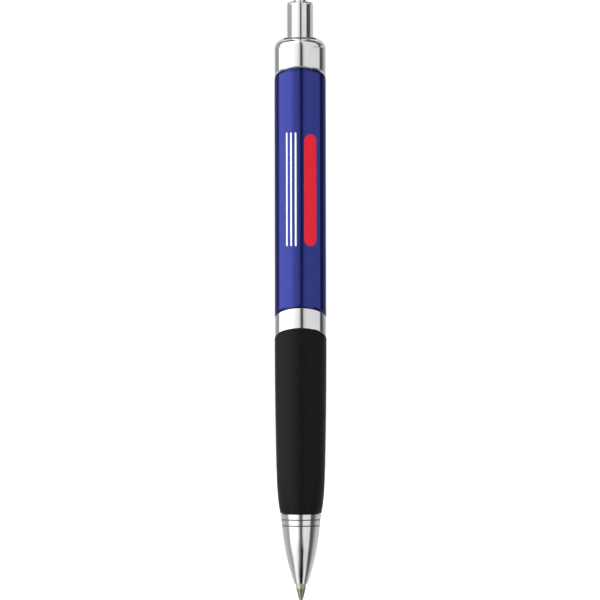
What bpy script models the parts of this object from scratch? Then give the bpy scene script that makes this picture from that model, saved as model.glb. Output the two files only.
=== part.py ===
"""Retractable ballpoint pen with a push button, a slanted cap and ring, and a rubber grip.

The pen stands on its point: the ball's lowest point is the origin and the pen's axis is Z.
The front is -Y and the pocket clip is at the back, +Y. The refill is out, ready to write,
so the button is down. Lengths below are in millimetres and angles in degrees; a mesh is
made in metres through MM.
"""
import math

import bmesh
import bpy
from mathutils import Vector
from mathutils.geometry import interpolate_bezier

MM = 0.001

# Driving heights on the axis, from the ball's lowest point
CROWN_TOP = 140.4
BUTTON_TOP = 139.6
BUTTON_BOTTOM = 122.0
CAP_TOP = 131.25
CAP_SEAM = 122.05
RING_TOP = 66.0
RING_BOTTOM = 61.2
GRIP_BOTTOM = 20.4
NOSE_TOP = 20.2
NOSE_END = 3.85

# Driving radii
BARREL_R = 6.0
TRIM_R = 5.95
GRIP_R = 6.05
SHELL_BORE_R = 5.3
INNER_R = 5.2
BUTTON_R = 3.0
BUTTON_BORE_R = 2.45
NOSE_TOP_R = 4.78
NOSE_BORE_R = 1.24
TIP_R = 1.13
TUBE_R = 1.5
TUBE_BORE_R = 1.15
BALL_R = 0.35

# The seams of the cap and the ring are cut on a slant, high at the front and low at the back
SEAM_RISE = 2.3 / TRIM_R
GAP = 0.1

# Click mechanism: four ribs in the guide sleeve, four splines on the rotor and the driver.
# The ribs end in ramps that carry the rotor up by STROKE while it turns by INDEX_ANGLE.
STROKE = 5.0
INDEX_ANGLE = 45.0
RAMP_RISE = STROKE / INDEX_ANGLE
RIB_COUNT = 4
RIB_PITCH = 360.0 / RIB_COUNT
GROOVE_WIDTH = 24.0
SPLINE_WIDTH = 20.0
SPLINE_R = 3.4
GROOVE_R = 3.65
RIB_R = 2.95
CORE_R = 2.6
CORE_INSIDE_R = 2.3
RAMP_MIDDLE = 111.0
RAMP_GAP = 0.25
RIB_TOP = 120.2
STOP_HEIGHT = 124.0
TOOTH_COUNT = 8
TOOTH_HEIGHT = 0.6

# Thread between the nose cone and the grip core
THREAD_PITCH = 1.0
THREAD_R = 3.15
THREAD_DEPTH = 0.3
THREAD_CLEARANCE = 0.15
THREAD_BOTTOM = 15.9
THREAD_TOP = 19.3
RINGS_PER_PITCH = 4

# Spring
WIRE_R = 0.2
COIL_R = 1.85
SPRING_BOTTOM = 12.15
SPRING_TOP = 30.85
SPRING_SEAT = 31.0
NOSE_SHOULDER = 12.0

# Clip
CLIP_PIVOT = (0.0, 6.2, 128.0)
CLIP_THICKNESS = 0.7
CLIP_CROWN_R = 6.3
CLIP_BALL_R = 1.0
CLIP_BALL_HEIGHT = 88.6

# Facets round a turned piece
OUTER_SIDES = 40
REFILL_SIDES = 20


def clear_scene():
    for obj in list(bpy.data.objects):
        bpy.data.objects.remove(obj)


def make_material(name, colour, roughness, metallic):
    material = bpy.data.materials.new(name)
    material.use_nodes = True
    shader = material.node_tree.nodes["Principled BSDF"]
    shader.inputs["Base Color"].default_value = (*colour, 1.0)
    shader.inputs["Roughness"].default_value = roughness
    shader.inputs["Metallic"].default_value = metallic
    material.diffuse_color = (*colour, 1.0)
    return material


def make_object(name, bm, material, location=(0.0, 0.0, 0.0)):
    """An object from a bmesh in metres. The location is in millimetres."""
    bmesh.ops.recalc_face_normals(bm, faces=bm.faces)
    mesh = bpy.data.meshes.new(name)
    bm.to_mesh(mesh)
    bm.free()
    mesh.shade_smooth()
    mesh.set_sharp_from_angle(angle=math.radians(30.0))
    mesh.materials.append(material)
    obj = bpy.data.objects.new(name, mesh)
    obj.location = Vector(location) * MM
    bpy.context.collection.objects.link(obj)
    return obj


def make_empty(name):
    """The frame of a moving body, on the pen's axis."""
    empty = bpy.data.objects.new(name, None)
    empty.empty_display_size = 5.0 * MM
    bpy.context.collection.objects.link(empty)
    return empty


def turned(outline, sides=OUTER_SIDES):
    """A bmesh turned about Z from (radius, height) points.

    An outline that starts on the axis ends on it too; any other is closed into a loop.
    """
    bm = bmesh.new()
    verts = [bm.verts.new((radius * MM, 0.0, height * MM)) for radius, height in outline]
    edges = [bm.edges.new(pair) for pair in zip(verts, verts[1:])]
    if outline[0][0] > 0.0:
        edges.append(bm.edges.new((verts[-1], verts[0])))
    bmesh.ops.spin(bm, geom=verts + edges, cent=(0.0, 0.0, 0.0), axis=(0.0, 0.0, 1.0),
                   angle=math.tau, steps=sides, use_merge=True)
    bmesh.ops.remove_doubles(bm, verts=bm.verts, dist=0.001 * MM)
    return bm


def curve_points(start, handle_a, handle_b, end, count):
    """Points of a Bezier curve through (radius, height) pairs, both ends included."""
    ends = [Vector((*point, 0.0)) for point in (start, handle_a, handle_b, end)]
    return [(point.x, point.y) for point in interpolate_bezier(*ends, count)]


def shift_ring(bm, height, rise):
    """Moves the vertices at one height up by rise(x, y), all in millimetres."""
    for vert in bm.verts:
        if abs(vert.co.z / MM - height) < 0.001:
            vert.co.z += rise(vert.co.x / MM, vert.co.y / MM) * MM


def slant(x, y):
    return -y * SEAM_RISE


def tooth(x, y):
    """The rise of a sawtooth crown, which climbs for three facets and drops for two."""
    turn = math.degrees(math.atan2(y, x)) % (360.0 / TOOTH_COUNT) / (360.0 / TOOTH_COUNT)
    climb = 0.6
    if turn < climb:
        return TOOTH_HEIGHT * turn / climb
    return TOOTH_HEIGHT * (1.0 - turn) / (1.0 - climb)


def cut_thread(bm, radius):
    """Turns the closely ringed wall at this radius into a right-hand thread."""
    for vert in bm.verts:
        x, y, z = vert.co / MM
        on_wall = abs(math.hypot(x, y) - radius) < 0.01
        if on_wall and THREAD_BOTTOM - 0.01 < z < THREAD_TOP + 0.01:
            phase = math.tau * z / THREAD_PITCH - math.atan2(y, x)
            depth = 0.5 * THREAD_DEPTH * math.cos(phase)
            vert.co.x *= (radius + depth) / radius
            vert.co.y *= (radius + depth) / radius


def thread_wall(radius):
    """Outline points up the wall that cut_thread works on."""
    count = round((THREAD_TOP - THREAD_BOTTOM) / THREAD_PITCH * RINGS_PER_PITCH)
    step = (THREAD_TOP - THREAD_BOTTOM) / count
    return [(radius, THREAD_BOTTOM + step * i) for i in range(count + 1)]


def add_sector(bm, inner, outer, middle, width, bottom, top):
    """Adds a closed block between two radii, centred on an angle.

    bottom and top give its heights at an angle measured from its own centre.
    """
    steps = max(2, round(width / 6.0))
    rows = []
    for i in range(steps + 1):
        own = width * (i / steps - 0.5)
        angle = math.radians(middle + own)
        corners = ((inner, bottom(own)), (outer, bottom(own)), (outer, top(own)), (inner, top(own)))
        rows.append([bm.verts.new((radius * math.cos(angle) * MM, radius * math.sin(angle) * MM,
                                   height * MM)) for radius, height in corners])
    for low, high in zip(rows, rows[1:]):
        for i in range(4):
            bm.faces.new((low[i], low[i - 1], high[i - 1], high[i]))
    bm.faces.new(rows[0])
    bm.faces.new(rows[-1])


def add_sectors(name, target, material, first, width, inner, outer, bottom, top):
    """Unites one block a rib pitch, starting at the angle first, with the target."""
    bm = bmesh.new()
    for i in range(RIB_COUNT):
        add_sector(bm, inner, outer, first + RIB_PITCH * i, width, bottom, top)
    blocks = make_object(name, bm, material)
    unite(target, blocks)


def unite(target, tool):
    tool.hide_render = True
    tool.display_type = "WIRE"
    tool.parent = target
    modifier = target.modifiers.new("unite " + tool.name, "BOOLEAN")
    modifier.operation = "UNION"
    modifier.solver = "EXACT"
    modifier.object = tool


def flat(height):
    return lambda angle: height


def ramp(height):
    """A helical surface that rises with the angle."""
    return lambda angle: height + RAMP_RISE * angle


# Housing: cap, bush, guide sleeve, barrel, ring, joint sleeve, grip


def build_end_cap(material):
    hole_r = 3.3
    roof = 129.9
    outline = [(SHELL_BORE_R, CAP_SEAM + GAP / 2), (TRIM_R, CAP_SEAM + GAP / 2)]
    outline += curve_points((TRIM_R, 128.2), (TRIM_R, 129.9), (5.45, 130.65), (3.4, CAP_TOP), 10)
    outline += [(hole_r, CAP_TOP), (hole_r, roof), (SHELL_BORE_R, roof)]
    bm = turned(outline)
    shift_ring(bm, CAP_SEAM + GAP / 2, slant)
    return make_object("end_cap", bm, material)


def build_upper_barrel(material):
    top = CAP_SEAM - GAP / 2
    bottom = RING_TOP + GAP / 2
    bm = turned([(SHELL_BORE_R, bottom), (BARREL_R, bottom), (BARREL_R, top), (SHELL_BORE_R, top)])
    shift_ring(bm, top, slant)
    shift_ring(bm, bottom, slant)
    return make_object("upper_barrel", bm, material)


def build_centre_ring(material):
    top = RING_TOP - GAP / 2
    bottom = RING_BOTTOM + GAP / 2
    bm = turned([(SHELL_BORE_R, bottom), (TRIM_R, bottom), (TRIM_R, top), (SHELL_BORE_R, top)])
    shift_ring(bm, top, slant)
    shift_ring(bm, bottom, slant)
    return make_object("centre_ring", bm, material)


def build_cap_bush(material):
    bore_r = 4.7
    bottom = 106.0
    top = 128.7
    bm = turned([(bore_r, bottom), (INNER_R, bottom), (INNER_R, top), (bore_r, top)])
    return make_object("cap_bush", bm, material)


def build_guide_sleeve(material):
    outer_r = 4.6
    bottom = 105.0
    collar = 128.8
    top = 129.8
    hole_r = 3.25
    outline = [(GROOVE_R, bottom), (outer_r, bottom), (outer_r, collar), (INNER_R, collar),
               (INNER_R, top), (hole_r, top), (hole_r, STOP_HEIGHT), (GROOVE_R, STOP_HEIGHT)]
    sleeve = make_object("guide_sleeve", turned(outline), material)
    add_sectors("guide_ribs", sleeve, material, 0.0, RIB_PITCH - GROOVE_WIDTH,
                RIB_R, GROOVE_R + 0.3, ramp(RAMP_MIDDLE + RAMP_GAP), flat(RIB_TOP))
    return sleeve


def build_joint_sleeve(material):
    spigot_r = 4.3
    spigot_bore_r = 3.7
    bottom = 48.3
    step = 58.2
    top = 82.0
    bore_r = 4.6
    outline = [(spigot_bore_r, bottom), (spigot_r, bottom), (spigot_r, step), (INNER_R, step),
               (INNER_R, top), (bore_r, top), (bore_r, step + 2.0), (spigot_bore_r, step)]
    return make_object("joint_sleeve", turned(outline), material)


# The grip core's outside from its shoulder up, which the rubber follows inside
CORE_FLANK = [(3.9, 20.3), (4.5, 24.0), (5.0, 30.0), (INNER_R, 36.0)]
CORE_TOP = 58.0


def build_grip_core(material):
    end = 15.7
    channel_r = 2.3
    channel_top = 34.5
    chamber_r = 3.9
    socket_r = 4.4
    socket_bottom = 48.0
    outline = [(channel_r, end), (THREAD_R - 0.1, end)]
    outline += thread_wall(THREAD_R)
    outline += [(THREAD_R, CORE_FLANK[0][1])] + CORE_FLANK
    outline += [(INNER_R, CORE_TOP), (socket_r, CORE_TOP), (socket_r, socket_bottom),
                (chamber_r, socket_bottom), (chamber_r, channel_top), (channel_r, channel_top)]
    bm = turned(outline)
    cut_thread(bm, THREAD_R)
    return make_object("grip_core", bm, material)


def build_rubber_grip(material):
    top = RING_BOTTOM - GAP / 2
    outline = [(CORE_FLANK[0][0] + GAP, GRIP_BOTTOM)]
    outline += [(radius + GAP, height) for radius, height in CORE_FLANK[1:]]
    outline += [(SHELL_BORE_R, top), (GRIP_R, top)]
    outline += curve_points((6.02, 54.0), (5.98, 46.0), (5.86, 37.5), (5.62, 28.3), 7)
    outline += curve_points((5.62, 28.3), (5.5, 25.3), (5.26, 22.3), (4.82, GRIP_BOTTOM), 6)[1:]
    bm = turned(outline)
    shift_ring(bm, top, slant)
    return make_object("rubber_grip", bm, material)


# Nose


def nose_flank():
    """The nose cone's outside, from its end up to the grip, with two turned grooves."""
    groove_width = 0.25
    groove_depth = 0.12
    points = curve_points((1.6, 4.0), (4.1, 11.3), (4.22, 15.3), (NOSE_TOP_R, NOSE_TOP), 11)
    grooves = []
    for height in (17.5, 18.9):
        below = [point for point in points if point[1] < height][-1]
        above = [point for point in points if point[1] > height][0]
        share = (height - below[1]) / (above[1] - below[1])
        radius = below[0] + share * (above[0] - below[0])
        grooves += [(radius, height - groove_width / 2), (radius - groove_depth, height),
                    (radius, height + groove_width / 2)]
    return sorted(points + grooves, key=lambda point: point[1])


def build_nose_cone(material):
    female_r = THREAD_R + THREAD_CLEARANCE
    chamber_r = 2.45
    socket_floor = 15.4
    mouth_r = 3.55
    outline = [(NOSE_BORE_R, NOSE_END), (1.5, NOSE_END)]
    outline += nose_flank()
    outline += [(mouth_r, NOSE_TOP), (mouth_r, THREAD_TOP + 0.2)]
    outline += reversed(thread_wall(female_r))
    outline += [(female_r, socket_floor), (chamber_r, socket_floor),
                (chamber_r, NOSE_SHOULDER), (NOSE_BORE_R, NOSE_SHOULDER)]
    bm = turned(outline)
    cut_thread(bm, female_r)
    return make_object("nose_cone", bm, material)


def build_return_spring(material):
    """A coil with one closed turn at each end."""
    points_per_turn = 12
    turns = 10
    closed_pitch = 0.45
    start = SPRING_BOTTOM + WIRE_R
    open_rise = SPRING_TOP - SPRING_BOTTOM - 2 * WIRE_R - 2 * closed_pitch
    curve = bpy.data.curves.new("return_spring", "CURVE")
    curve.dimensions = "3D"
    curve.bevel_depth = WIRE_R * MM
    curve.bevel_resolution = 1
    curve.use_fill_caps = True
    spline = curve.splines.new("POLY")
    spline.points.add(turns * points_per_turn)
    for i, point in enumerate(spline.points):
        turn = i / points_per_turn
        open_turns = min(max(turn - 1.0, 0.0), turns - 2.0)
        closed_turns = turn - open_turns
        height = start + closed_turns * closed_pitch + open_turns * open_rise / (turns - 2.0)
        angle = math.tau * turn
        point.co = (COIL_R * math.cos(angle) * MM, COIL_R * math.sin(angle) * MM, height * MM, 1.0)
    curve.materials.append(material)
    spring = bpy.data.objects.new("return_spring", curve)
    bpy.context.collection.objects.link(spring)
    return spring


# Button and click mechanism


def build_push_button(material):
    crown_r = 1.5
    roof = 137.6
    chamfer = 0.5
    outline = [(0.0, CROWN_TOP), (crown_r - 0.3, CROWN_TOP), (crown_r, CROWN_TOP - 0.3),
               (crown_r, BUTTON_TOP), (BUTTON_R - chamfer, BUTTON_TOP),
               (BUTTON_R, BUTTON_TOP - chamfer), (BUTTON_R, BUTTON_BOTTOM),
               (BUTTON_BORE_R, BUTTON_BOTTOM), (BUTTON_BORE_R, roof), (0.0, roof)]
    return make_object("push_button", turned(outline), material)


def build_cam_driver(material):
    crown = 113.1
    shoulder = BUTTON_BOTTOM - GAP
    stem_r = BUTTON_BORE_R - GAP
    stem_top = 130.0
    pin_bore_r = 1.45
    bore_top = 120.0
    outline = [(0.0, stem_top), (stem_r, stem_top), (stem_r, shoulder), (CORE_R, shoulder),
               (CORE_R, crown), (pin_bore_r, crown), (pin_bore_r, bore_top), (0.0, bore_top)]
    bm = turned(outline)
    shift_ring(bm, crown, tooth)
    driver = make_object("cam_driver", bm, material)
    add_sectors("driver_splines", driver, material, RIB_PITCH / 2, SPLINE_WIDTH,
                CORE_INSIDE_R, SPLINE_R, flat(113.9), flat(118.7))
    return driver


def build_cam_rotor(material):
    bottom = 104.5
    crown = 112.3
    pin_r = 1.3
    pin_top = 118.0
    socket_r = 1.65
    socket_top = 106.8
    outline = [(0.0, pin_top), (pin_r, pin_top), (pin_r, crown), (CORE_R, crown),
               (CORE_R, bottom), (socket_r, bottom), (socket_r, socket_top), (0.0, socket_top)]
    bm = turned(outline)
    shift_ring(bm, crown, tooth)
    rotor = make_object("cam_rotor", bm, material)
    add_sectors("rotor_splines", rotor, material, 0.0, SPLINE_WIDTH,
                CORE_INSIDE_R, SPLINE_R, flat(106.2), ramp(RAMP_MIDDLE))
    return rotor


# Refill

TUBE_BOTTOM = 33.3
TUBE_TOP = 105.4
HOLDER_BOTTOM = 13.9
SOCKET_SPIGOT_TOP = 17.0


def build_refill_tube(material):
    outline = [(TUBE_BORE_R, TUBE_BOTTOM), (TUBE_R, TUBE_BOTTOM), (TUBE_R, TUBE_TOP),
               (TUBE_BORE_R, TUBE_TOP)]
    return make_object("refill_tube", turned(outline, REFILL_SIDES), material)


def build_ink_column(material):
    ink_r = TUBE_BORE_R - GAP
    bottom = 37.4
    top = 84.0
    outline = [(0.0, top), (ink_r, top), (ink_r, bottom), (0.0, bottom)]
    return make_object("ink_column", turned(outline, REFILL_SIDES), material)


def build_refill_end_plug(material):
    spigot_bottom = 103.2
    head_bottom = TUBE_TOP + GAP
    top = 106.6
    outline = [(0.0, top), (TUBE_R, top), (TUBE_R, head_bottom), (TUBE_BORE_R - GAP, head_bottom),
               (TUBE_BORE_R - GAP, spigot_bottom), (0.0, spigot_bottom)]
    return make_object("refill_end_plug", turned(outline, REFILL_SIDES), material)


def build_tip_holder(material):
    """The adapter between tip and tube. The spring pushes on its flange."""
    body_r = 1.45
    flange_r = 2.0
    flange_top = 32.6
    neck_top = TUBE_BOTTOM - GAP
    spigot_r = TUBE_BORE_R - GAP
    top = 37.2
    socket_r = 0.9
    socket_top = SOCKET_SPIGOT_TOP + 0.2
    channel_r = 0.5
    outline = [(socket_r, HOLDER_BOTTOM), (body_r, HOLDER_BOTTOM), (body_r, SPRING_SEAT),
               (flange_r, SPRING_SEAT), (flange_r, flange_top), (TUBE_R, flange_top),
               (TUBE_R, neck_top), (spigot_r, neck_top), (spigot_r, top), (channel_r, top),
               (channel_r, socket_top), (socket_r, socket_top)]
    return make_object("tip_holder", turned(outline, REFILL_SIDES), material)


def build_ball_socket(material):
    """The metal tip: a shank, a cone and a lip that is rolled in around the ball."""
    cavity_r = 0.375
    lip_height = 0.24
    lip_r = 0.45
    feed_r = 0.2
    spigot_r = 0.8
    cone_top = (1.1, 2.62)
    shank_top = HOLDER_BOTTOM - GAP
    outline = [(lip_r, lip_height), cone_top, (TIP_R, 2.8), (TIP_R, shank_top),
               (spigot_r, shank_top), (spigot_r, SOCKET_SPIGOT_TOP), (feed_r, SOCKET_SPIGOT_TOP)]
    lowest = math.asin((lip_height - BALL_R) / cavity_r)
    highest = math.acos(feed_r / cavity_r)
    steps = 4
    for i in range(steps + 1):
        angle = highest + (lowest - highest) * i / steps
        outline.append((cavity_r * math.cos(angle), BALL_R + cavity_r * math.sin(angle)))
    return make_object("ball_socket", turned(outline, REFILL_SIDES), material)


def build_writing_ball(material):
    bm = bmesh.new()
    bmesh.ops.create_uvsphere(bm, u_segments=16, v_segments=8, radius=BALL_R * MM)
    return make_object("writing_ball", bm, material, (0.0, 0.0, BALL_R))


# Clip

# Middle of the clip's strip from its root down: distance from the axis, height, width
CLIP_STATIONS = [(6.48, 128.0, 3.6), (6.5, 126.6, 4.4), (6.52, 124.5, 4.6), (6.56, 122.4, 4.6),
                 (7.1, 120.4, 4.6), (7.85, 118.6, 4.6), (8.2, 116.4, 4.6), (8.15, 106.0, 4.3),
                 (8.0, 96.0, 4.0), (7.9, 90.5, 3.8), (8.05, 87.6, 3.5), (8.55, 85.9, 3.0)]
CLIP_COLUMNS = 4


def build_pocket_clip(material):
    """A crowned strip of sheet metal with a round foot that faces the barrel."""
    pivot = Vector(CLIP_PIVOT)
    bm = bmesh.new()
    rows = []
    for i, (distance, height, width) in enumerate(CLIP_STATIONS):
        before = CLIP_STATIONS[max(i - 1, 0)]
        after = CLIP_STATIONS[min(i + 1, len(CLIP_STATIONS) - 1)]
        run = Vector((0.0, after[0] - before[0], after[1] - before[1])).normalized()
        outward = Vector((0.0, -run.z, run.y))
        row = []
        for side, columns in ((0.5, range(CLIP_COLUMNS + 1)), (-0.5, range(CLIP_COLUMNS, -1, -1))):
            for column in columns:
                x = width * (column / CLIP_COLUMNS - 0.5)
                crown = math.sqrt(CLIP_CROWN_R ** 2 - x ** 2) - CLIP_CROWN_R
                point = Vector((x, distance + crown, height)) + outward * (side * CLIP_THICKNESS)
                row.append(bm.verts.new((point - pivot) * MM))
        rows.append(row)
    for low, high in zip(rows, rows[1:]):
        for i in range(len(low)):
            bm.faces.new((low[i], low[i - 1], high[i - 1], high[i]))
    bm.faces.new(rows[0])
    bm.faces.new(rows[-1])
    clip = make_object("pocket_clip", bm, material, CLIP_PIVOT)

    bm = bmesh.new()
    bmesh.ops.create_uvsphere(bm, u_segments=16, v_segments=10, radius=CLIP_BALL_R * MM)
    foot_centre = BARREL_R + 2 * GAP + CLIP_BALL_R
    foot = make_object("clip_foot", bm, material, (0.0, foot_centre - pivot.y,
                                                   CLIP_BALL_HEIGHT - pivot.z))
    unite(clip, foot)
    return clip


def build_pen():
    clear_scene()
    chrome = make_material("polished chrome", (0.82, 0.82, 0.83), 0.06, 1.0)
    blue = make_material("metallic blue lacquer", (0.045, 0.055, 0.28), 0.18, 0.6)
    rubber = make_material("black rubber", (0.022, 0.022, 0.023), 0.6, 0.0)
    brass = make_material("turned brass", (0.74, 0.58, 0.32), 0.3, 1.0)
    white_plastic = make_material("white acetal", (0.85, 0.85, 0.83), 0.4, 0.0)
    black_plastic = make_material("black plastic", (0.03, 0.03, 0.032), 0.45, 0.0)
    clear_plastic = make_material("clear polypropylene", (0.8, 0.82, 0.84), 0.25, 0.0)
    ink = make_material("blue ink", (0.02, 0.03, 0.22), 0.2, 0.0)
    steel = make_material("spring steel", (0.55, 0.55, 0.56), 0.25, 1.0)
    nickel_silver = make_material("nickel silver", (0.78, 0.73, 0.6), 0.2, 1.0)
    carbide = make_material("tungsten carbide", (0.3, 0.3, 0.31), 0.15, 1.0)

    build_end_cap(chrome)
    build_upper_barrel(blue)
    build_centre_ring(chrome)
    build_cap_bush(brass)
    build_guide_sleeve(white_plastic)
    build_joint_sleeve(brass)
    build_grip_core(black_plastic)
    build_rubber_grip(rubber)
    build_pocket_clip(chrome)
    build_return_spring(steel)

    bodies = {
        "button_body": [build_push_button(chrome), build_cam_driver(white_plastic)],
        "rotor_body": [build_cam_rotor(white_plastic)],
        "nose_body": [build_nose_cone(chrome)],
        "refill_body": [build_refill_tube(clear_plastic), build_ink_column(ink),
                        build_refill_end_plug(white_plastic), build_tip_holder(white_plastic),
                        build_ball_socket(nickel_silver), build_writing_ball(carbide)],
    }
    for name, pieces in bodies.items():
        frame = make_empty(name)
        for piece in pieces:
            piece.parent = frame


build_pen()
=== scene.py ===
"""Looks for the retractable ballpoint pen: fine shells, procedural finishes, studio light and camera."""

import math

import bmesh
import bpy
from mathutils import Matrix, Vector


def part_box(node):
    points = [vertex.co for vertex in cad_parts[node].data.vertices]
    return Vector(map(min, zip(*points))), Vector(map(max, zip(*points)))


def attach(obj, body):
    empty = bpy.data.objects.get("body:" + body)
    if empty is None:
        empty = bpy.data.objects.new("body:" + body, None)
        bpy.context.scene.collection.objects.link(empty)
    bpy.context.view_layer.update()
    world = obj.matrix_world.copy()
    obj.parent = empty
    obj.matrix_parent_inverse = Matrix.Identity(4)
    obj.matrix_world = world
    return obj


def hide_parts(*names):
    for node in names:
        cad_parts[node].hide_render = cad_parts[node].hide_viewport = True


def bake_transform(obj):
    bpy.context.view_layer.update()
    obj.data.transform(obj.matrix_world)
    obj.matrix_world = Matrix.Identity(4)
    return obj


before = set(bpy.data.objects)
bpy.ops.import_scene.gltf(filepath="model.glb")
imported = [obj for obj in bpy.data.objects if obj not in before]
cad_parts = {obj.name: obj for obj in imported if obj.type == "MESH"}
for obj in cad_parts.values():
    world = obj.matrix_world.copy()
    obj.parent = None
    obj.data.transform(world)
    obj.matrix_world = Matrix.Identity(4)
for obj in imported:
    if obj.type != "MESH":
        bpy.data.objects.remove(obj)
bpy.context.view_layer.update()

MM = 0.001
# How many sides a turned piece has
SIDES = 144


# Sizes, from the frame, in mm ---------------------------------------------


def low(node):
    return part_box(node)[0].z / MM


def high(node):
    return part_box(node)[1].z / MM


def wide(node):
    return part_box(node)[1].x / MM


BARREL_R = wide("upper_barrel")
CAP_R = wide("end_cap")
RING_R = wide("centre_ring")
GRIP_R = wide("rubber_grip")
NOSE_R = wide("nose_cone")
BUTTON_R = wide("push_button")
TIP_R = wide("ball_socket")
# The bore of the outer shells, and the ring's height along its side
SHELL_BORE_R = 5.3
RING_HEIGHT = 4.7
# How steeply the seams lean: they are high at the front, where y is negative
LEAN = (high("centre_ring") - low("centre_ring") - RING_HEIGHT) / 2 / RING_R
# The share of that lean the cap's seam shows
CAP_LEAN = 0.88
CAP_SEAM = low("end_cap") + LEAN * CAP_R
BARREL_TOP = high("upper_barrel") - LEAN * BARREL_R
BARREL_BOTTOM = low("upper_barrel") + LEAN * BARREL_R
RING_TOP = high("centre_ring") - LEAN * RING_R
RING_BOTTOM = low("centre_ring") + LEAN * RING_R
GRIP_TOP = high("rubber_grip") - LEAN * GRIP_R
GRIP_BOTTOM = low("rubber_grip")
CAP_TOP = high("end_cap")
NOSE_TOP = high("nose_cone")
NOSE_END = low("nose_cone")
CROWN_TOP = high("push_button")
BUTTON_BOTTOM = low("push_button")


# Shapes -------------------------------------------------------------------


def bezier(start, handle_a, handle_b, end, count):
    """Points along one Bezier curve, both ends included."""
    points = []
    for i in range(count):
        t = i / (count - 1)
        s = 1.0 - t
        weights = (s * s * s, 3 * s * s * t, 3 * s * t * t, t * t * t)
        knots = (start, handle_a, handle_b, end)
        points.append(tuple(sum(w * k[axis] for w, k in zip(weights, knots)) for axis in (0, 1)))
    return points


def rounded(outline, closed=True, steps=5, support=0.05):
    """Rounds each corner that has a third number, its radius, and adds a support point beside the arc."""
    made = []
    count = len(outline)
    for i, corner in enumerate(outline):
        if len(corner) < 3 or (not closed and i in (0, count - 1)):
            made.append((corner[0], corner[1]))
            continue
        here = Vector(corner[:2])
        before = Vector(outline[i - 1][:2])
        after = Vector(outline[(i + 1) % count][:2])
        to_before = (before - here).normalized()
        to_after = (after - here).normalized()
        half = math.acos(max(-1.0, min(1.0, to_before.dot(to_after)))) / 2
        reach = corner[2] / math.tan(half)
        reach = min(reach, (before - here).length * 0.45, (after - here).length * 0.45)
        radius = reach * math.tan(half)
        middle = here + (to_before + to_after).normalized() * (radius / math.sin(half))
        first = here + to_before * reach
        last = here + to_after * reach
        a = math.atan2(first.y - middle.y, first.x - middle.x)
        b = math.atan2(last.y - middle.y, last.x - middle.x)
        sweep = (b - a + math.pi) % math.tau - math.pi
        if (before - first).length > 3 * support:
            made.append(tuple(first + to_before * support))
        for k in range(steps + 1):
            angle = a + sweep * k / steps
            made.append((middle.x + radius * math.cos(angle), middle.y + radius * math.sin(angle)))
        if (after - last).length > 3 * support:
            made.append(tuple(last + to_after * support))
    return made


def loft(bm, rows):
    """Joins each closed row of points to the next one, and closes both ends."""
    for first, second in zip(rows, rows[1:]):
        for i in range(len(first)):
            bm.faces.new((first[i], first[i - 1], second[i - 1], second[i]))
    bm.faces.new(rows[0])
    bm.faces.new(rows[-1])


def place(name, data):
    """Puts an object with this data in the scene."""
    obj = bpy.data.objects.new(name, data)
    bpy.context.scene.collection.objects.link(obj)
    return obj


def made_mesh(name, bm):
    """Turns a finished bmesh into a mesh."""
    mesh = bpy.data.meshes.new(name)
    bm.to_mesh(mesh)
    bm.free()
    return mesh


def finish_mesh(name, bm, material, body, angle=50.0):
    """Makes a smooth piece, which rides on its body if it has one. Edges past the angle stay sharp."""
    bmesh.ops.recalc_face_normals(bm, faces=bm.faces)
    mesh = made_mesh(name, bm)
    mesh.materials.append(material)
    mesh.polygons.foreach_set("use_smooth", [True] * len(mesh.polygons))
    mesh.set_sharp_from_angle(angle=math.radians(angle))
    obj = place(name, mesh)
    if body:
        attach(obj, body)
    return obj


def turned(outline, sides=SIDES, lean=None, bm=None, closed=True):
    """Turns an outline of (radius, height) round Z. lean(height) is the share of the seams' slant there."""
    bm = bm or bmesh.new()
    rings = []
    for radius, height in outline:
        if radius < 1e-6:
            rings.append([bm.verts.new((0.0, 0.0, height * MM))])
            continue
        ring = []
        for i in range(sides):
            angle = math.tau * i / sides
            x = radius * math.cos(angle)
            y = radius * math.sin(angle)
            z = height - (lean(height) * LEAN * y if lean else 0.0)
            ring.append(bm.verts.new((x * MM, y * MM, z * MM)))
        rings.append(ring)
    pairs = list(zip(rings, rings[1:]))
    if closed:
        pairs.append((rings[-1], rings[0]))
    for first, second in pairs:
        if len(first) == 1 and len(second) == 1:
            continue
        for i in range(sides):
            j = (i + 1) % sides
            if len(first) == 1:
                bm.faces.new((first[0], second[i], second[j]))
            elif len(second) == 1:
                bm.faces.new((first[i], first[j], second[0]))
            else:
                bm.faces.new((first[i], first[j], second[j], second[i]))
    return bm


# Materials ----------------------------------------------------------------


def add_node(tree, kind, inputs=None, **settings):
    """A shader node with its settings, and a link or a value for each of the inputs."""
    made = tree.nodes.new(kind)
    for key, value in settings.items():
        setattr(made, key, value)
    for key, value in (inputs or {}).items():
        if isinstance(value, bpy.types.NodeSocket):
            tree.links.new(value, made.inputs[key])
        else:
            made.inputs[key].default_value = value
    return made


def add_ramp(tree, factor, stops):
    """A colour ramp. Each stop is a position and a colour, or a grey as one number."""
    made = add_node(tree, "ShaderNodeValToRGB", {"Fac": factor})
    elements = made.color_ramp.elements
    while len(elements) < len(stops):
        elements.new(0.5)
    for element, (position, colour) in zip(elements, stops):
        element.position = position
        element.color = (*colour, 1.0) if hasattr(colour, "__len__") else (colour, colour, colour, 1.0)
    return made.outputs["Color"]


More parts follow.
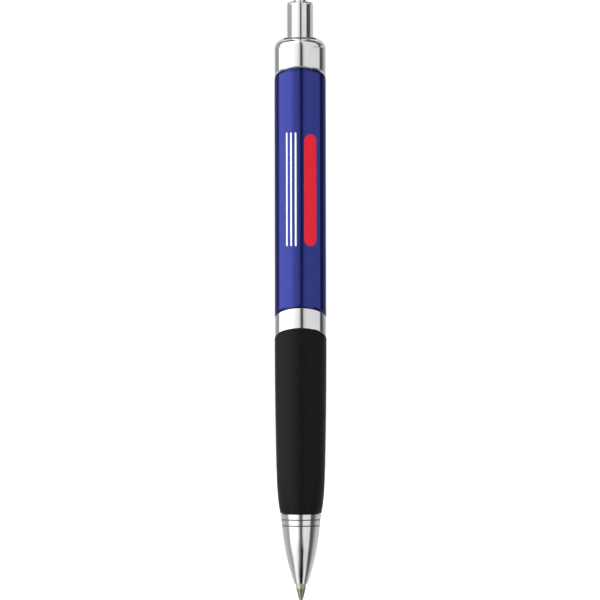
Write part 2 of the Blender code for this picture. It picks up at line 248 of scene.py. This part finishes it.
class Finish:
    """A material with one Principled shader, and short ways to feed it from procedural textures."""

    def __init__(self, name, **sockets):
        self.material = bpy.data.materials.new(name)
        self.material.use_nodes = True
        self.tree = self.material.node_tree
        self.shader = next(n for n in self.tree.nodes if n.type == "BSDF_PRINCIPLED")
        for socket, value in sockets.items():
            self.shader.inputs[socket.replace("_", " ")].default_value = value
        self.coords = self.tree.nodes.new("ShaderNodeTexCoord").outputs["Object"]

    def node(self, kind, inputs=None, **settings):
        return add_node(self.tree, kind, inputs, **settings)

    def stretched(self, scale):
        """Object coordinates, multiplied by a scale for each axis."""
        return self.node("ShaderNodeMapping", {"Vector": self.coords, "Scale": scale}).outputs[0]

    def noise(self, scale, detail, vector=None):
        inputs = {"Vector": vector or self.coords, "Scale": scale, "Detail": detail}
        return self.node("ShaderNodeTexNoise", inputs).outputs["Fac"]

    def ramp(self, factor, stops):
        return add_ramp(self.tree, factor, stops)

    def feed(self, socket, output):
        self.tree.links.new(output, self.shader.inputs[socket])

    def bump(self, height, distance, strength):
        inputs = {"Height": height, "Distance": distance, "Strength": strength}
        return self.node("ShaderNodeBump", inputs).outputs["Normal"]


def chrome_finish():
    """Mirror chrome with very faint hairlines."""
    f = Finish("polished_chrome", Metallic=1.0)
    patches = f.noise(260.0, 3.0)
    f.feed("Base Color", f.ramp(patches, [(0.35, (0.80, 0.805, 0.815)), (0.65, (0.865, 0.868, 0.872))]))
    hairlines = f.noise(900.0, 2.0, vector=f.stretched((0.35, 0.35, 9.0)))
    f.feed("Roughness", f.ramp(hairlines, [(0.35, 0.03), (0.75, 0.075)]))
    f.feed("Normal", f.bump(hairlines, 0.0000012, 0.35))
    return f.material


def lacquer_finish():
    """Blue metallic lacquer: fine flakes under a thin clear coat, with painted shade near both ends."""
    f = Finish("blue_lacquer", Metallic=0.9, Coat_Weight=0.5, Coat_Roughness=0.02, Coat_IOR=1.4,
               Specular_Tint=(0.1, 0.1, 0.4, 1.0))
    flakes = f.node("ShaderNodeTexVoronoi", {"Vector": f.coords, "Scale": 14000.0}).outputs["Distance"]
    grain = f.noise(1500.0, 3.0)
    tint = f.ramp(flakes, [(0.0, (0.03, 0.042, 0.265)), (1.0, (0.021, 0.031, 0.205))])
    parts = f.node("ShaderNodeSeparateXYZ", {0: f.coords}).outputs
    # Distance along the barrel, measured on the same slant as its ends
    slanted = {0: parts["Y"], 1: LEAN * CAP_LEAN, 2: parts["Z"]}
    height = f.node("ShaderNodeMath", slanted, operation="MULTIPLY_ADD").outputs[0]
    span = {"Value": height, "From Min": BARREL_BOTTOM * MM, "From Max": BARREL_TOP * MM}
    along = f.node("ShaderNodeMapRange", span)
    # Painted shade: the base colour darkens where the barrel rolls in at its two ends, most under the cap's
    # seam
    ends = f.ramp(along.outputs[0],
                  [(0.0, 0.5), (0.012, 1.0), (0.983, 1.0), (0.991, 0.62), (0.996, 0.42), (1.0, 0.42)])
    # Sockets 0, 6 and 7 of a colour mix are its factor and its two colours
    # The painted shade multiplies the lacquer's colour
    painted_end_shade = f.node("ShaderNodeMix", {0: 1.0, 6: tint, 7: ends}, data_type="RGBA", blend_type="MULTIPLY")
    f.feed("Base Color", painted_end_shade.outputs[2])
    f.feed("Roughness", f.ramp(grain, [(0.3, 0.12), (0.7, 0.16)]))
    f.feed("Normal", f.bump(flakes, 0.000004, 0.18))
    return f.material


def rubber_finish():
    """Matte black rubber with a fine stipple."""
    f = Finish("grip_rubber", Specular_IOR_Level=0.18)
    mottle = f.noise(420.0, 4.0)
    stipple = f.noise(9000.0, 2.0)
    f.feed("Base Color", f.ramp(mottle, [(0.3, (0.0013, 0.0013, 0.0014)), (0.7, (0.0027, 0.0025, 0.0025))]))
    f.feed("Roughness", f.ramp(mottle, [(0.3, 0.4), (0.7, 0.5)]))
    f.feed("Normal", f.bump(stipple, 0.00003, 0.5))
    return f.material


def metal_finish(name, dark, light, roughness, lines):
    """A turned metal: fine rings from the lathe, and a little tarnish."""
    f = Finish(name, Metallic=1.0)
    rings = f.noise(1000.0, 2.0, vector=f.stretched((0.02, 0.02, lines)))
    tarnish = f.noise(500.0, 4.0)
    f.feed("Base Color", f.ramp(tarnish, [(0.3, dark), (0.7, light)]))
    f.feed("Roughness", f.ramp(rings, [(0.3, roughness * 0.75), (0.7, roughness * 1.3)]))
    f.feed("Normal", f.bump(rings, 0.000004, 0.4))
    return f.material


def plastic_finish(name, dark, light, roughness, **sockets):
    """A moulded plastic or an ink: a faint orange-peel surface and a slight change of tone."""
    f = Finish(name, **sockets)
    tone = f.noise(350.0, 3.0)
    peel = f.noise(5000.0, 2.0)
    f.feed("Base Color", f.ramp(tone, [(0.3, dark), (0.7, light)]))
    f.feed("Roughness", f.ramp(tone, [(0.3, roughness * 0.85), (0.7, roughness * 1.15)]))
    f.feed("Normal", f.bump(peel, 0.00001, 0.4))
    return f.material


CHROME = chrome_finish()
LACQUER = lacquer_finish()
RUBBER = rubber_finish()
BRASS = metal_finish("turned_brass", (0.68, 0.48, 0.22), (0.8, 0.62, 0.32), 0.28, 6.0)
STEEL = metal_finish("spring_steel", (0.5, 0.5, 0.51), (0.62, 0.62, 0.63), 0.25, 4.0)
NICKEL = metal_finish("nickel_silver", (0.4, 0.38, 0.3), (0.5, 0.48, 0.39), 0.2, 8.0)
CARBIDE = metal_finish("ball_carbide", (0.22, 0.22, 0.23), (0.32, 0.32, 0.33), 0.22, 3.0)
# Painted shade: a dark metal for the cap's lip round the hole and the nose's grooves, standing in for the
# shade there
PAINTED_SHADE_METAL = metal_finish("painted_shade_metal", (0.15, 0.15, 0.155), (0.22, 0.22, 0.225), 0.4, 3.0)
ACETAL = plastic_finish("cam_plastic", (0.8, 0.8, 0.77), (0.87, 0.87, 0.85), 0.38)
BLACK = plastic_finish("core_plastic", (0.02, 0.02, 0.021), (0.035, 0.035, 0.037), 0.42)
CLEAR = plastic_finish("clear_plastic", (0.86, 0.88, 0.9), (0.92, 0.93, 0.94), 0.12,
                       Transmission_Weight=0.9, IOR=1.49)
INK = plastic_finish("blue_ink", (0.008, 0.012, 0.13), (0.015, 0.024, 0.2), 0.12)
WHITE_PRINT = plastic_finish("white_print", (0.72, 0.73, 0.76), (0.86, 0.87, 0.88), 0.3,
                             Specular_IOR_Level=0.25)
RED_PRINT = plastic_finish("red_print", (0.54, 0.004, 0.016), (0.58, 0.006, 0.018), 0.45,
                           Specular_IOR_Level=0.25)

# The CAD solids that stay as they are, inside the pen, with a finish on each
CAD_FINISH = {
    "turned_brass": BRASS, "cam_plastic": ACETAL, "core_plastic": BLACK, "clear_plastic": CLEAR,
    "blue_ink": INK,
}
NODE_SLOTS = {
    "cap_bush": "turned_brass", "joint_sleeve": "turned_brass", "guide_sleeve": "cam_plastic",
    "cam_driver": "cam_plastic", "cam_rotor": "cam_plastic", "grip_core": "core_plastic",
    "refill_tube": "clear_plastic", "ink_column": "blue_ink", "refill_end_plug": "cam_plastic",
    "tip_holder": "cam_plastic",
}
for node, slot in NODE_SLOTS.items():
    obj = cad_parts[node]
    for material_slot in obj.material_slots:
        material_slot.material = CAD_FINISH[slot]


# Shells -------------------------------------------------------------------

# An outline holds a radius and a height for each point, in mm above the writing point


def build_cap():
    """A slanted bevel at the seam, an upright side, a rounded shoulder and a lip round the hole that is
    painted dark as shade.
    """
    hole_r, lip_r = 3.3, 3.85
    roof = CAP_TOP - 1.35
    level_from = CAP_TOP - 3.05
    shoulder = CAP_TOP - 2.4
    seam = CAP_SEAM - 0.05
    outline = [(SHELL_BORE_R, seam, 0.06), (CAP_R - 0.26, seam, 0.06), (CAP_R, seam + 0.5, 0.1),
               (CAP_R, shoulder - 0.02)]
    outline += bezier((CAP_R, shoulder), (CAP_R - 0.18, CAP_TOP - 1.4), (5.41, CAP_TOP - 0.7),
                      (lip_r, CAP_TOP - 0.3), 30)
    outline += [(lip_r - 0.04, CAP_TOP - 0.27), (lip_r - 0.1, CAP_TOP, 0.06), (hole_r, CAP_TOP, 0.12),
                (hole_r, roof, 0.1), (SHELL_BORE_R, roof)]

    def lean(height):
        return max(0.0, min(CAP_LEAN, CAP_LEAN * (level_from - height) / (level_from - seam)))

    bm = turned(rounded(outline), lean=lean)
    cap = finish_mesh("cap_shell", bm, CHROME, "housing")
    # The lip and the wall of the hole take the dark metal: painted shade
    cap.data.materials.append(PAINTED_SHADE_METAL)
    for face in cap.data.polygons:
        if Vector(face.center[:2]).length / MM < lip_r and face.center.z / MM > roof + 0.1:
            face.material_index = 1
    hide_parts("end_cap")


def rolled_edge(radius, height, depth, reach):
    """A quarter of an ellipse, from the end face, depth inside the wall, to the wall, reach further on."""
    angles = [math.pi / 2 * k / 8 for k in range(9)]
    return [(radius - depth * (1 - math.sin(a)), height + reach * (1 - math.cos(a))) for a in angles]


def build_barrel():
    """A tube that rolls in at both ends. Its top leans like the cap's seam, its bottom like the ring."""
    roll_depth = 0.15
    outline = [(SHELL_BORE_R, BARREL_BOTTOM)]
    outline += rolled_edge(BARREL_R, BARREL_BOTTOM, roll_depth, 0.6)
    outline += reversed(rolled_edge(BARREL_R, BARREL_TOP, roll_depth, -0.9))
    outline += [(SHELL_BORE_R, BARREL_TOP)]
    middle = (BARREL_BOTTOM + BARREL_TOP) / 2
    bm = turned(outline, lean=lambda height: CAP_LEAN if height > middle else 1.0)
    barrel = finish_mesh("barrel_shell", bm, LACQUER, "housing")
    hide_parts("upper_barrel")


def build_ring():
    """A band between two slanted cuts."""
    outline = [(SHELL_BORE_R, RING_BOTTOM), (RING_R, RING_BOTTOM, 0.1), (RING_R, RING_TOP, 0.16),
               (SHELL_BORE_R, RING_TOP)]
    bm = turned(rounded(outline), lean=lambda height: 1.0)
    ring = finish_mesh("ring_band", bm, CHROME, "housing")
    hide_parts("centre_ring")


def build_grip():
    """A sleeve with a slanted top. Two curves meet at its waist and bring it down to the nose."""
    level_to = 54.0
    waist = (5.62, 28.3)
    outline = [(4.0, GRIP_BOTTOM), (4.6, 24.0), (5.1, 30.0), (SHELL_BORE_R, 36.0)]
    outline += [(SHELL_BORE_R, GRIP_TOP, 0.05), (GRIP_R, GRIP_TOP, 0.22)]
    outline += bezier((6.02, level_to), (5.98, 46.0), (5.86, 37.5), waist, 24)[:-1]
    outline += bezier(waist, (5.5, 25.3), (5.26, 22.3), (4.82, GRIP_BOTTOM), 16)

    def lean(height):
        return max(0.0, min(1.0, (height - level_to) / (GRIP_TOP - level_to)))

    bm = turned(rounded(outline), lean=lean)
    grip = finish_mesh("grip_sleeve", bm, RUBBER, "housing", 40.0)
    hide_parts("rubber_grip")


def build_nose():
    """A curved cone with two fine turned grooves, painted darker than the rest as shade."""
    groove_heights = (17.5, 18.9)
    groove_width, groove_depth = 0.25, 0.12
    half = groove_width / 2
    # The outer skin is outside this radius where the grooves are
    outer_r = 3.9
    # Places across a groove, and the share of its depth there
    across = [(-half - 0.04, 0.0), (-half, 0.005), (-half * 0.7, 0.75), (0.0, 1.0),
              (half * 0.7, 0.75), (half, 0.005), (half + 0.04, 0.0)]
    flank = bezier((1.6, NOSE_END + 0.15), (4.1, 11.3), (4.22, 15.3), (NOSE_R, NOSE_TOP - 0.02), 40)
    grooves = []
    for height in groove_heights:
        flank = [p for p in flank if abs(p[1] - height) > groove_width]
        below = [p for p in flank if p[1] < height][-1]
        above = [p for p in flank if p[1] > height][0]
        for step, share in across:
            along = (height + step - below[1]) / (above[1] - below[1])
            radius = below[0] + along * (above[0] - below[0])
            grooves.append((radius - share * groove_depth, height + step))
    outline = [(1.24, NOSE_END, 0.04), (1.48, NOSE_END), (1.56, NOSE_END + 0.04)]
    outline += sorted(flank + grooves, key=lambda p: p[1])
    outline += [(3.55, NOSE_TOP), (3.55, 19.5), (3.3, 19.5), (3.3, 15.4), (2.45, 15.4), (2.45, 12.0),
                (1.24, 12.0)]
    bm = turned(rounded(outline))
    nose = finish_mesh("nose_shell", bm, CHROME, "nose", 60.0)
    # The grooves' outer faces take the dark metal: painted shade
    nose.data.materials.append(PAINTED_SHADE_METAL)
    for face in nose.data.polygons:
        height = face.center.z / MM
        outside = Vector(face.center[:2]).length / MM > outer_r
        if outside and any(abs(height - groove) < half for groove in groove_heights):
            face.material_index = 1
    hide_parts("nose_cone")


def build_button():
    """A hollow plunger with a rounded shoulder and a small raised centre."""
    crown_r, hollow_r = 1.5, 2.45
    shoulder = CROWN_TOP - 0.8
    roof = CROWN_TOP - 2.8
    outline = [(0.0, CROWN_TOP), (crown_r, CROWN_TOP, 0.28), (crown_r, shoulder, 0.08),
               (BUTTON_R - 0.38, shoulder, 0.2), (BUTTON_R, shoulder - 0.38, 0.4),
               (BUTTON_R, BUTTON_BOTTOM, 0.1), (hollow_r, BUTTON_BOTTOM), (hollow_r, roof), (0.0, roof)]
    bm = turned(rounded(outline, closed=False), sides=112, closed=False)
    button = finish_mesh("button_shell", bm, CHROME, "button")
    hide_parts("push_button")


def build_tip():
    """The tip's cone, shank and spigot, with an ink channel and a round seat, and the ball in the seat."""
    ball_r, seat_r = 0.35, 0.372
    outline = [(0.43, 0.22), (0.45, 0.26), (0.54, 0.55, 0.2), (1.1, 2.62, 0.05), (TIP_R, 2.8, 0.05),
               (TIP_R, 13.8), (0.8, 13.8), (0.8, 17.0), (0.2, 17.0), (0.2, 0.68)]
    angles = [math.radians(58.0 - 76.0 * i / 6) for i in range(7)]
    outline += [(seat_r * math.cos(a), ball_r + seat_r * math.sin(a)) for a in angles]
    bm = turned(rounded(outline), sides=64)
    tip = finish_mesh("tip_point", bm, NICKEL, "refill")
    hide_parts("ball_socket")
    bm = bmesh.new()
    bmesh.ops.create_icosphere(bm, subdivisions=4, radius=ball_r * MM)
    bmesh.ops.translate(bm, verts=bm.verts, vec=(0.0, 0.0, ball_r * MM))
    ball = finish_mesh("tip_ball", bm, CARBIDE, "ball")
    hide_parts("writing_ball")


def build_spring():
    """A coil with a closed turn at each end, which rides on no body."""
    wire_r, coil_r = 0.2, 1.85
    turns, closed_pitch = 10, 0.45
    steps, corners = 30, 10
    bottom, top = low("return_spring"), high("return_spring")
    open_rise = top - bottom - 2 * wire_r - 2 * closed_pitch
    bm = bmesh.new()
    rows = []
    for i in range(turns * steps + 1):
        turn = i / steps
        open_turns = min(max(turn - 1.0, 0.0), turns - 2.0)
        height = bottom + wire_r + (turn - open_turns) * closed_pitch
        height += open_turns * open_rise / (turns - 2.0)
        outward = Vector((math.cos(math.tau * turn), math.sin(math.tau * turn), 0.0))
        row = []
        for k in range(corners):
            angle = math.tau * k / corners
            point = outward * (coil_r + wire_r * math.cos(angle))
            point.z = height + wire_r * math.sin(angle)
            row.append(bm.verts.new(point * MM))
        rows.append(row)
    loft(bm, rows)
    coil = finish_mesh("spring_coil", bm, STEEL, None)
    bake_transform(coil)
    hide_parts("return_spring")


# Along the clip's strip: its distance from the pen's axis, height and width
CLIP_STATIONS = [(6.48, 128.0, 3.6), (6.5, 126.6, 4.4), (6.52, 124.5, 4.6), (6.56, 122.4, 4.6),
                 (7.1, 120.4, 4.6), (7.85, 118.6, 4.6), (8.2, 116.4, 4.6), (8.15, 106.0, 4.3),
                 (8.0, 96.0, 4.0), (7.9, 90.5, 3.8), (8.05, 87.6, 3.5), (8.55, 85.9, 3.0)]


def spline_at(stations, t):
    """A smooth curve through the stations (Catmull-Rom), at a place counted in stations."""
    i = min(int(t), len(stations) - 2)
    u = t - i
    p = [stations[max(0, min(len(stations) - 1, k))] for k in (i - 1, i, i + 1, i + 2)]
    made = []
    for a, b, c, d in zip(*p):
        made.append(b + 0.5 * u * (c - a + u * (2 * a - 5 * b + 4 * c - d + u * (3 * (b - c) + d - a))))
    return made


def strip_section(half_width):
    """The strip's cross-section, with rounded edges: the place across it and the height off its middle."""
    thickness, edge = 0.7, 0.16
    flat, rim = half_width - edge, thickness / 2 - edge
    angles = [math.pi / 2 * k / 5 for k in range(5)]
    section = []
    for side in (1, -1):
        section += [(side * flat * (1 - k / 5), side * thickness / 2) for k in range(11)]
        section += [(-side * (flat + edge * math.sin(a)), side * (rim + edge * math.cos(a)))
                    for a in angles[1:]]
        section += [(-side * (flat + edge * math.cos(a)), -side * (rim + edge * math.sin(a)))
                    for a in angles]
    return section


def add_strip(bm):
    """The clip's strip, with a crowned face and slightly narrowed ends."""
    crown_r = 6.3
    # How far from each end the strip narrows, in stations, and to what share of its width
    narrowed, end_share = 0.12, 0.82
    count = 110
    last = len(CLIP_STATIONS) - 1
    rows = []
    for i in range(count + 1):
        t = last * i / count
        distance, height, width = spline_at(CLIP_STATIONS, t)
        before = spline_at(CLIP_STATIONS, max(t - 0.05, 0.0))
        after = spline_at(CLIP_STATIONS, min(t + 0.05, last))
        run = Vector((0.0, after[0] - before[0], after[1] - before[1])).normalized()
        outward = Vector((0.0, -run.z, run.y))
        end = min(t, last - t, narrowed) / narrowed
        share = end_share + (1.0 - end_share) * math.sqrt(1.0 - (1.0 - end) ** 2)
        row = []
        for x, off in strip_section(width / 2 * share):
            crown = math.sqrt(crown_r ** 2 - x ** 2) - crown_r
            point = Vector((x, distance + crown, height)) + outward * off
            row.append(bm.verts.new(point * MM))
        rows.append(row)
    loft(bm, rows)


def add_foot(bm):
    """The dome on the clip's foot, turned and then laid over to face the barrel."""
    foot_y, foot_z = BARREL_R + 0.2, 88.6
    angles = [math.radians(9.0 * k) for k in range(1, 10)]
    dome = [(0.0, 0.0)]
    dome += [(math.sin(a), 1.0 - math.cos(a)) for a in angles]
    dome += [(1.06, 1.12), (1.25, 1.32), (1.25, 1.6), (0.0, 1.6)]
    strip_points = len(bm.verts)
    turned(dome, sides=40, bm=bm, closed=False)
    bm.verts.ensure_lookup_table()
    for vert in bm.verts[strip_points:]:
        x, y, z = vert.co
        vert.co = (x, foot_y * MM + z, foot_z * MM + y)


def build_clip():
    """The strip and its foot, as one piece."""
    bm = bmesh.new()
    add_strip(bm)
    add_foot(bm)
    clip = finish_mesh("clip_strip", bm, CHROME, "clip")
    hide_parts("pocket_clip")


def build_print(name, centre, half_width, top, material):
    """A thin printed mark with round ends that follows the barrel. centre and half_width are arcs in mm."""
    bottom = 82.6
    inside, outside = BARREL_R - 0.02, BARREL_R + 0.012
    columns, middle_rows, end_rows = 10, 12, 8
    least_share = 0.02
    # The height of each row up the mark, and the share of the mark's width there
    angles = [math.pi / 2 * k / end_rows for k in range(end_rows)]
    roll = [(half_width * (1 - math.cos(a)), max(math.sin(a), least_share)) for a in angles]
    step = (top - bottom - 2 * half_width) / middle_rows
    places = [(bottom + rise, share) for rise, share in roll]
    places += [(bottom + half_width + step * k, 1.0) for k in range(middle_rows + 1)]
    places += [(top - rise, share) for rise, share in reversed(roll)]
    bm = bmesh.new()
    rows = []
    for height, share in places:
        row = []
        for radius, order in ((outside, range(columns + 1)), (inside, range(columns, -1, -1))):
            for k in order:
                angle = (centre + half_width * share * (2 * k / columns - 1)) / BARREL_R
                point = Vector((radius * math.sin(angle), -radius * math.cos(angle), height))
                row.append(bm.verts.new(point * MM))
        rows.append(row)
    loft(bm, rows)
    finish_mesh(name, bm, material, "housing", 30.0)


build_cap()
build_barrel()
build_ring()
build_grip()
build_nose()
build_button()
build_tip()
build_spring()
build_clip()
for number, arc in enumerate((-3.3, -2.2, -1.1), start=1):
    build_print(f"white_line_{number}", arc, 0.2, 109.0, WHITE_PRINT)
build_print("red_bar", 2.45, 1.55, 108.6, RED_PRINT)


# Studio -------------------------------------------------------------------

# How bright the surroundings are that the polished parts mirror, by bearing in degrees. 0 is the front,
# where the camera stands, and the right is positive. The nose leans down and mirrors narrower lights,
# with a wider dark gap between them.
LEVEL_BANDS = [(-180.0, 0.7), (-150.0, 0.58), (-131.0, 0.42), (-121.0, 0.41), (-114.0, 0.5),
               (-109.5, 1.8), (-102.0, 2.3), (-44.0, 2.3), (-34.0, 1.65), (-25.0, 1.38), (-12.0, 1.2),
               (-7.0, 1.07), (-1.5, 0.62), (2.8, 0.08), (8.6, 0.08), (12.8, 0.56), (18.0, 0.9),
               (26.0, 1.02), (40.0, 1.03), (62.0, 1.01), (96.0, 0.97), (101.5, 0.16), (107.5, 0.09),
               (114.0, 0.1), (122.0, 0.24), (131.0, 0.46), (142.0, 0.58), (156.0, 0.7), (180.0, 0.72)]
LOW_BANDS = [(-180.0, 0.8), (-141.0, 0.78), (-121.0, 0.7), (-101.0, 0.56), (-92.0, 0.5), (-83.0, 0.52),
             (-78.0, 0.8), (-71.0, 1.8), (-28.0, 1.8), (-21.0, 1.5), (-15.0, 1.1), (-9.0, 0.6),
             (-3.0, 0.17), (3.0, 0.09), (7.0, 0.3), (13.5, 0.9), (19.0, 1.1), (50.0, 1.03), (57.0, 0.82),
             (62.5, 0.14), (71.6, 0.11), (79.0, 0.157), (87.0, 0.22), (95.4, 0.45), (104.5, 0.62),
             (114.5, 0.75), (126.0, 0.8), (180.0, 0.82)]
MID_BANDS = [(-180.0, 0.9), (-133.0, 0.88), (-117.0, 0.76), (-104.0, 0.62), (-92.0, 0.5), (-80.0, 0.46),
             (-73.0, 0.6), (-67.0, 1.2), (-60.0, 1.42), (-45.0, 1.45), (-34.0, 1.35), (-25.0, 1.12),
             (-17.0, 0.74), (-10.0, 0.28), (-3.0, 0.14), (5.0, 0.05), (13.0, 0.01), (16.5, 0.15),
             (20.0, 0.65), (26.0, 0.98), (42.0, 0.92), (51.0, 0.95), (57.0, 0.6), (62.0, 0.14),
             (68.0, 0.1), (77.0, 0.15), (87.0, 0.2), (96.0, 0.46), (107.0, 0.66), (122.0, 0.72),
             (140.0, 0.76), (180.0, 0.8)]
DEEP_BANDS = [(-180.0, 0.8), (-150.0, 0.8), (-129.0, 0.66), (-115.0, 0.5), (-100.0, 0.46), (-91.0, 0.52),
              (-82.0, 1.15), (-72.0, 1.5), (-55.0, 1.45), (-40.0, 1.15), (-31.0, 0.76), (-23.0, 0.36),
              (-12.0, 0.07), (-3.0, 0.02), (5.0, 0.01), (19.0, 0.005), (23.0, 0.1), (27.0, 0.45),
              (33.0, 0.95), (41.0, 1.15), (52.0, 1.1), (61.0, 0.75), (69.0, 0.3), (75.0, 0.12),
              (86.0, 0.15), (99.0, 0.3), (108.0, 0.5), (121.0, 0.72), (137.0, 0.78), (180.0, 0.8)]
# Each set of bands below the level ones, with the elevations over which it takes over
LOWER_BANDS = [(LOW_BANDS, -3.0, -8.0), (MID_BANDS, -16.5, -24.0), (DEEP_BANDS, -28.0, -37.0)]
# How bright the lights are by elevation, in front of the pen and behind it
FRONT_WINDOW = [(-90.0, 0.3), (-72.0, 0.35), (-58.0, 1.0), (90.0, 1.0)]
BACK_WINDOW = [(-90.0, 0.3), (-60.0, 0.6), (-20.0, 1.0), (44.0, 1.0), (54.0, 0.15), (64.0, 0.15),
               (72.0, 1.0), (90.0, 1.0)]
# Where the window behind the pen takes over
BEHIND = [(-180.0, 1.0), (-128.0, 1.0), (-112.0, 0.0), (104.0, 0.0), (125.0, 1.0), (180.0, 1.0)]
# A ramp's colours end at 1, so the bands are divided by this number and multiplied by it afterwards
BAND_SCALE = 2.5
# What stands straight behind the pen, which views from the back mirror, and where it takes over
BACK_SHARE = [(-180.0, 1.0), (-163.0, 1.0), (-158.0, 0.0), (158.0, 0.0), (163.0, 1.0), (180.0, 1.0)]
BACK_BANDS = [(-180.0, 0.1), (-174.0, 0.12), (-170.0, 0.9), (-166.0, 1.4), (-156.0, 1.4), (-150.0, 0.7),
              (150.0, 0.7), (156.0, 1.3), (166.0, 1.3), (170.0, 0.8), (174.0, 0.12), (180.0, 0.1)]
# Where the polished parts mirror the floor, and how bright that is
GROUND_WINDOW = [(-90.0, 1.0), (-60.0, 1.0), (-45.0, 0.0), (90.0, 0.0)]
GROUND_LIGHT = 0.5


def build_world():
    """A white world to the camera. What lights the pen and what it mirrors are the bands above."""
    world = bpy.data.worlds.new("studio")
    bpy.context.scene.world = world
    world.use_nodes = True
    tree = world.node_tree
    tree.nodes.clear()

    def node(kind, inputs=None, **settings):
        return add_node(tree, kind, inputs, **settings)

    def calculate(operation, *values):
        return node("ShaderNodeMath", dict(enumerate(values)), operation=operation).outputs[0]

    def share_of(value, low_end, high_end):
        inputs = {"Value": value, "From Min": low_end, "From Max": high_end}
        return node("ShaderNodeMapRange", inputs).outputs[0]

    def table(factor, stops, span, scale=1.0):
        """A ramp from angles in degrees, from -span to span, to a value."""
        greys = [((angle + span) / (2 * span), value / scale) for angle, value in stops]
        return add_ramp(tree, factor, greys)

    def bearings(stops, scale=1.0):
        return table(around, stops, 180.0, scale)

    def elevations(stops):
        return table(up, stops, 90.0)

    def blended(share, first, second):
        return node("ShaderNodeMix", {0: share, 2: first, 3: second}).outputs[0]

    direction = node("ShaderNodeTexCoord").outputs["Generated"]
    parts = node("ShaderNodeSeparateXYZ", {0: direction}).outputs
    bearing = calculate("ARCTAN2", parts["X"], calculate("MULTIPLY", parts["Y"], -1.0))
    around = share_of(bearing, -math.pi, math.pi)
    level = calculate("ARCSINE", parts["Z"])
    up = share_of(level, -math.pi / 2, math.pi / 2)

    bands = bearings(LEVEL_BANDS, BAND_SCALE)
    for stops, first, last in LOWER_BANDS:
        lowered = share_of(level, math.radians(first), math.radians(last))
        bands = blended(lowered, bands, bearings(stops, BAND_SCALE))
    bands = blended(bearings(BACK_SHARE), bands, bearings(BACK_BANDS, BAND_SCALE))
    window = blended(bearings(BEHIND), elevations(FRONT_WINDOW), elevations(BACK_WINDOW))
    light = calculate("MULTIPLY", calculate("MULTIPLY", bands, window), BAND_SCALE)
    light = blended(elevations(GROUND_WINDOW), light, GROUND_LIGHT)

    seen = node("ShaderNodeLightPath").outputs["Is Camera Ray"]
    studio = node("ShaderNodeBackground", {"Strength": light})
    plain = node("ShaderNodeBackground", {"Color": (1.0, 1.0, 1.0, 1.0), "Strength": 1.0})
    mixed = node("ShaderNodeMixShader", {0: seen, 1: studio.outputs[0], 2: plain.outputs[0]})
    node("ShaderNodeOutputWorld", {"Surface": mixed.outputs[0]})


def build_flags():
    """Dim cards on both sides of the button, which only mirrors see. They give it wider dark edges."""
    reach = 60.0
    bottom, top = CAP_TOP + 1.15, CROWN_TOP + 7.6
    # Each card's brightness, and the bearings it stands between
    cards = [(0.44, -130, -76), (0.08, 58, 94), (0.2, 94, 106), (0.62, 106, 132)]
    bm = bmesh.new()
    for number, (_, first, last) in enumerate(cards):
        rows = []
        for degrees in range(first, last + 1, 2):
            bearing = math.radians(degrees)
            x, y = reach * math.sin(bearing) * MM, -reach * math.cos(bearing) * MM
            rows.append([bm.verts.new((x, y, z * MM)) for z in (bottom, top)])
        for left, right in zip(rows, rows[1:]):
            bm.faces.new((left[0], right[0], right[1], left[1])).material_index = number
    flags = place("button_flags", made_mesh("button_flags", bm))
    for tone, _, _ in cards:
        card = bpy.data.materials.new("flag_card")
        card.use_nodes = True
        tree = card.node_tree
        tree.nodes.clear()
        glow = add_node(tree, "ShaderNodeEmission", {"Color": (tone, tone, tone, 1.0)})
        add_node(tree, "ShaderNodeOutputMaterial", {"Surface": glow.outputs[0]})
        flags.data.materials.append(card)
    flags.visible_camera = False
    flags.visible_diffuse = False
    flags.visible_shadow = False
    flags.visible_transmission = False


def build_overhead():
    """A large soft light over the floor, which the polished parts don't mirror."""
    data = bpy.data.lights.new("overhead", "AREA")
    data.shape = "DISK"
    data.size = 2.4
    data.energy = 34.0
    light = place("overhead", data)
    light.location = (0.0, -0.2, 1.6)
    light.visible_glossy = False
    light.visible_camera = False


def build_floor():
    """A pale round floor just under the pen's point."""
    bm = bmesh.new()
    bmesh.ops.create_circle(bm, cap_ends=True, segments=96, radius=0.85)
    bmesh.ops.translate(bm, verts=bm.verts, vec=(0.0, 0.0, -0.00002))
    floor = place("floor", made_mesh("floor", bm))
    f = Finish("pale_floor", Roughness=0.9, Specular_IOR_Level=0.0)
    f.feed("Base Color", f.ramp(f.noise(60.0, 3.0), [(0.3, 0.9), (0.7, 0.94)]))
    floor.data.materials.append(f.material)
    floor.visible_glossy = False


def build_camera():
    """A long lens in front of the pen, level with its middle and rolled by a tenth of a degree."""
    data = bpy.data.cameras.new("camera")
    data.sensor_width = 36.0
    data.lens = 283.0
    data.clip_start = 0.05
    data.clip_end = 50.0
    data.dof.use_dof = False
    camera = place("camera", data)
    camera.location = (-0.00012, -1.1006, 0.0701)
    camera.rotation_euler = (math.pi / 2, math.radians(0.1), 0.0)
    bpy.context.scene.camera = camera


build_world()
build_flags()
build_overhead()
build_floor()
build_camera()
scene = bpy.context.scene
scene.view_settings.view_transform = "Standard"
scene.view_settings.look = "None"
